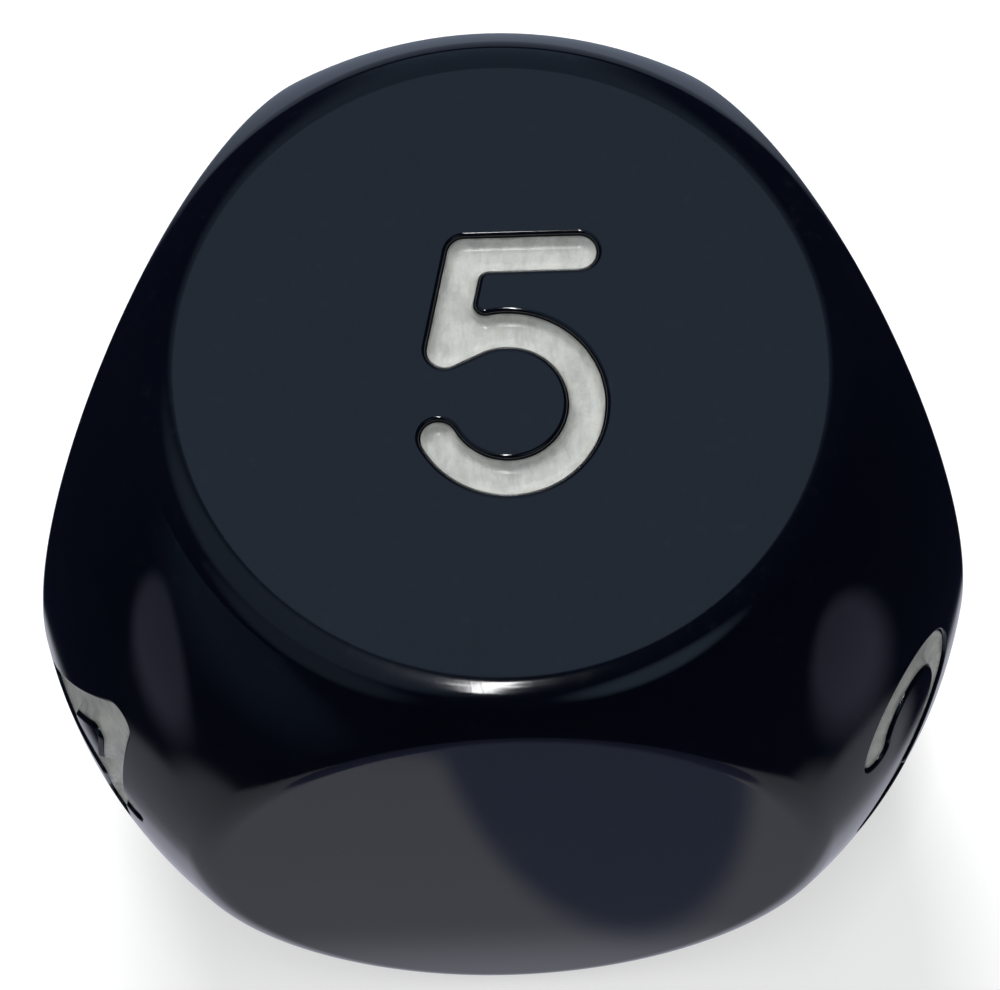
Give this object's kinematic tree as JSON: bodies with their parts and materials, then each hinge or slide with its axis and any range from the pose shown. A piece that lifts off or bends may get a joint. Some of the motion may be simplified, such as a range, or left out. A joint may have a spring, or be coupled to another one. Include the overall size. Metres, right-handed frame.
{
  "type": "five-sided die",
  "caption": "Barrel-shaped gaming die with flat ends, flat sides between rounded corners, and engraved numerals filled with silver-grey paint.",
  "frame": {"origin": "centre of the die, on the axis through its two end flats and halfway between them, which is also its centre of mass", "axes": "+Z out of the end flat that carries the 5; +Y through the rounded corner that carries the 3; -Y out of the side flat between the 4 and the 2; +X to the right when facing that side flat"},
  "size_m": [0.02, 0.018, 0.0188],
  "materials": {
    "body": "tumbled and polished black resin",
    "numeral_paint": "brushed-in silver-grey paint, satin"
  },
  "bodies": {
    "root": {"die_body": "body", "numeral_1_paint": "numeral_paint", "numeral_2_paint": "numeral_paint", "numeral_3_paint": "numeral_paint", "numeral_4_paint": "numeral_paint", "numeral_5_paint": "numeral_paint"}
  },
  "joints": []
}
